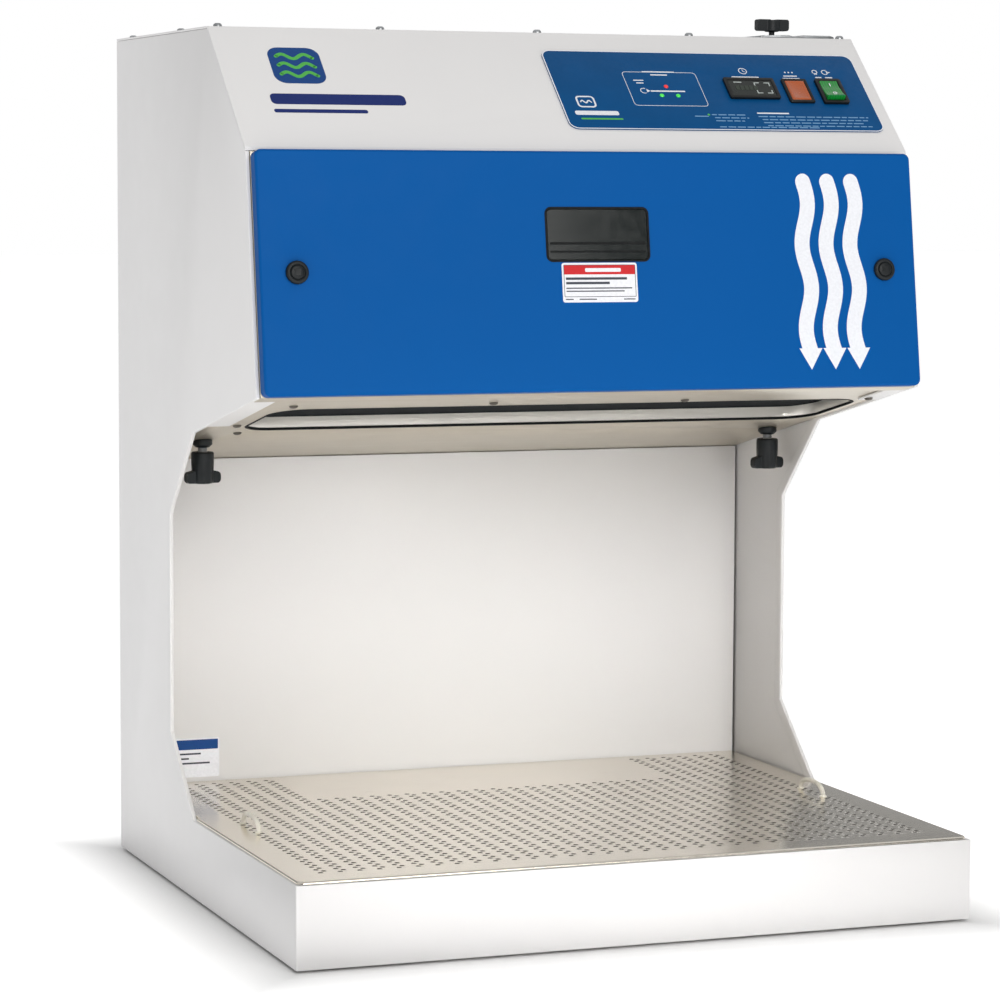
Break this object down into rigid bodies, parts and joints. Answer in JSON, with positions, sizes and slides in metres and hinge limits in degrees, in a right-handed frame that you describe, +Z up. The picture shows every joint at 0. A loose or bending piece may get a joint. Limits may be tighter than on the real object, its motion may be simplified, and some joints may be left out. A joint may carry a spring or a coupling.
{
  "type": "fume hood",
  "caption": "Bench-top filtered fume hood: open-sided sheet-metal cabinet with a perforated lift-out deck, rear air duct, and a head with lamp, filter door, fan and controls.",
  "frame": {"origin": "centre of the footprint on the bench, at the underside of the rubber feet", "axes": "+Z up, -Y towards the user (the front), +X to the user's right"},
  "size_m": [0.686, 0.635, 0.8832],
  "materials": {
    "white_paint": "satin white powder coat on sheet steel",
    "blue_paint": "semi-gloss blue powder coat",
    "stainless": "brushed stainless sheet, close to polished",
    "zinc_steel": "zinc-plated steel",
    "black_plastic": "moulded black plastic",
    "rubber": "black rubber and foam seal",
    "clear_glass": "clear polycarbonate",
    "overlay_film": "printed polyester overlay, satin",
    "amber_lens": "translucent amber lens",
    "green_plastic": "gloss green rocker",
    "cream_plastic": "off-white coated metal and plastic",
    "carbon_media": "carbon filter cell in a dark frame",
    "filter_pad": "white non-woven pad",
    "lamp_glass": "white fluorescent tube"
  },
  "bodies": {
    "cabinet": {"left_side_panel": "white_paint", "right_side_panel": "white_paint", "top_panel": "white_paint", "head_front_panel": "white_paint", "back_panel": "white_paint", "rear_liner": "white_paint", "base_shell": "white_paint", "spill_tray": "stainless", "lamp_bezel": "stainless", "ceiling_panel": "stainless", "door_frame": "stainless", "deck_ledge_left": "zinc_steel", "deck_ledge_right": "zinc_steel", "latch_receptacle_left": "zinc_steel", "latch_receptacle_right": "zinc_steel", "fan_deck": "zinc_steel", "fan_inlet_ring": "zinc_steel", "fan_motor": "zinc_steel", "motor_bracket": "zinc_steel", "controller_box": "zinc_steel", "top_access_plate": "zinc_steel", "power_inlet": "black_plastic", "lamp_housing": "black_plastic", "rod_bush_left": "black_plastic", "rod_bush_right": "black_plastic", "exhaust_grille": "black_plastic", "hour_meter": "black_plastic", "rocker_bezel": "black_plastic", "foot_front_left": "rubber", "foot_front_right": "rubber", "foot_rear_left": "rubber", "foot_rear_right": "rubber", "lamp_trim": "rubber", "lamp_lens": "clear_glass", "control_overlay": "overlay_film", "indicator_lamp": "amber_lens", "lamp_holder_left": "cream_plastic", "lamp_holder_right": "cream_plastic", "lamp_tube": "lamp_glass"},
    "door": {"filter_door": "blue_paint", "door_window": "clear_glass", "window_gasket": "rubber", "door_seal": "rubber"},
    "latch_left": {"latch_left": "black_plastic"},
    "latch_right": {"latch_right": "black_plastic"},
    "filter_lift": {"filter_lift_frame": "zinc_steel", "main_filter": "carbon_media", "pre_filter": "filter_pad", "filter_gasket": "rubber"},
    "clamp_left": {"clamp_knob_left": "black_plastic", "lift_rod_left": "zinc_steel"},
    "clamp_right": {"clamp_knob_right": "black_plastic", "lift_rod_right": "zinc_steel"},
    "roof_knob": {"top_knob": "black_plastic"},
    "power_key": {"power_rocker": "green_plastic"},
    "deck": {"perforated_deck": "stainless", "deck_handle_left": "cream_plastic", "deck_handle_right": "cream_plastic"},
    "fan_wheel": {"fan_impeller": "black_plastic"}
  },
  "joints": [
    {"name": "door_pull", "type": "slide", "parent": "cabinet", "child": "door", "axis": [0, -0.9895, 0.1444], "range_m": [0, 0.12]},
    {"name": "latch_left_turn", "type": "hinge", "parent": "door", "child": "latch_left", "pos_m": [-0.303, -0.17583, 0.62926], "axis": [0, -0.9895, 0.1444], "range_deg": [0, 90]},
    {"name": "latch_right_turn", "type": "hinge", "parent": "door", "child": "latch_right", "pos_m": [0.303, -0.17583, 0.62926], "axis": [0, -0.9895, 0.1444], "range_deg": [0, 90]},
    {"name": "filter_lower", "type": "slide", "parent": "cabinet", "child": "filter_lift", "axis": [0, 0, -1], "range_m": [0, 0.012]},
    {"name": "clamp_left_turn", "type": "hinge", "parent": "cabinet", "child": "clamp_left", "pos_m": [-0.313, 0.0965, 0.428], "axis": [0, 0, 1], "range_deg": [-2, 1442]},
    {"name": "clamp_right_turn", "type": "hinge", "parent": "cabinet", "child": "clamp_right", "pos_m": [0.313, 0.0965, 0.428], "axis": [0, 0, 1], "range_deg": [-2, 1442]},
    {"name": "roof_knob_turn", "type": "hinge", "parent": "cabinet", "child": "roof_knob", "pos_m": [0.262, -0.0125, 0.87], "axis": [0, 0, 1], "range_deg": [0, 1080]},
    {"name": "power_key_tilt", "type": "hinge", "parent": "cabinet", "child": "power_key", "pos_m": [0.29, -0.09601, 0.80711], "axis": [1, 0, 0], "range_deg": [0, 18]},
    {"name": "deck_lift", "type": "slide", "parent": "cabinet", "child": "deck", "axis": [0, 0, 1], "range_m": [0, 0.12]},
    {"name": "fan_spin", "type": "hinge", "parent": "cabinet", "child": "fan_wheel", "pos_m": [0, 0.1375, 0.78], "axis": [0, 0, 1], "continuous": true}
  ],
  "couplings": [
    {"joint": "clamp_left_turn", "follows": "filter_lower", "rad_per_m": 2094.4},
    {"joint": "clamp_right_turn", "follows": "filter_lower", "rad_per_m": 2094.4}
  ]
}
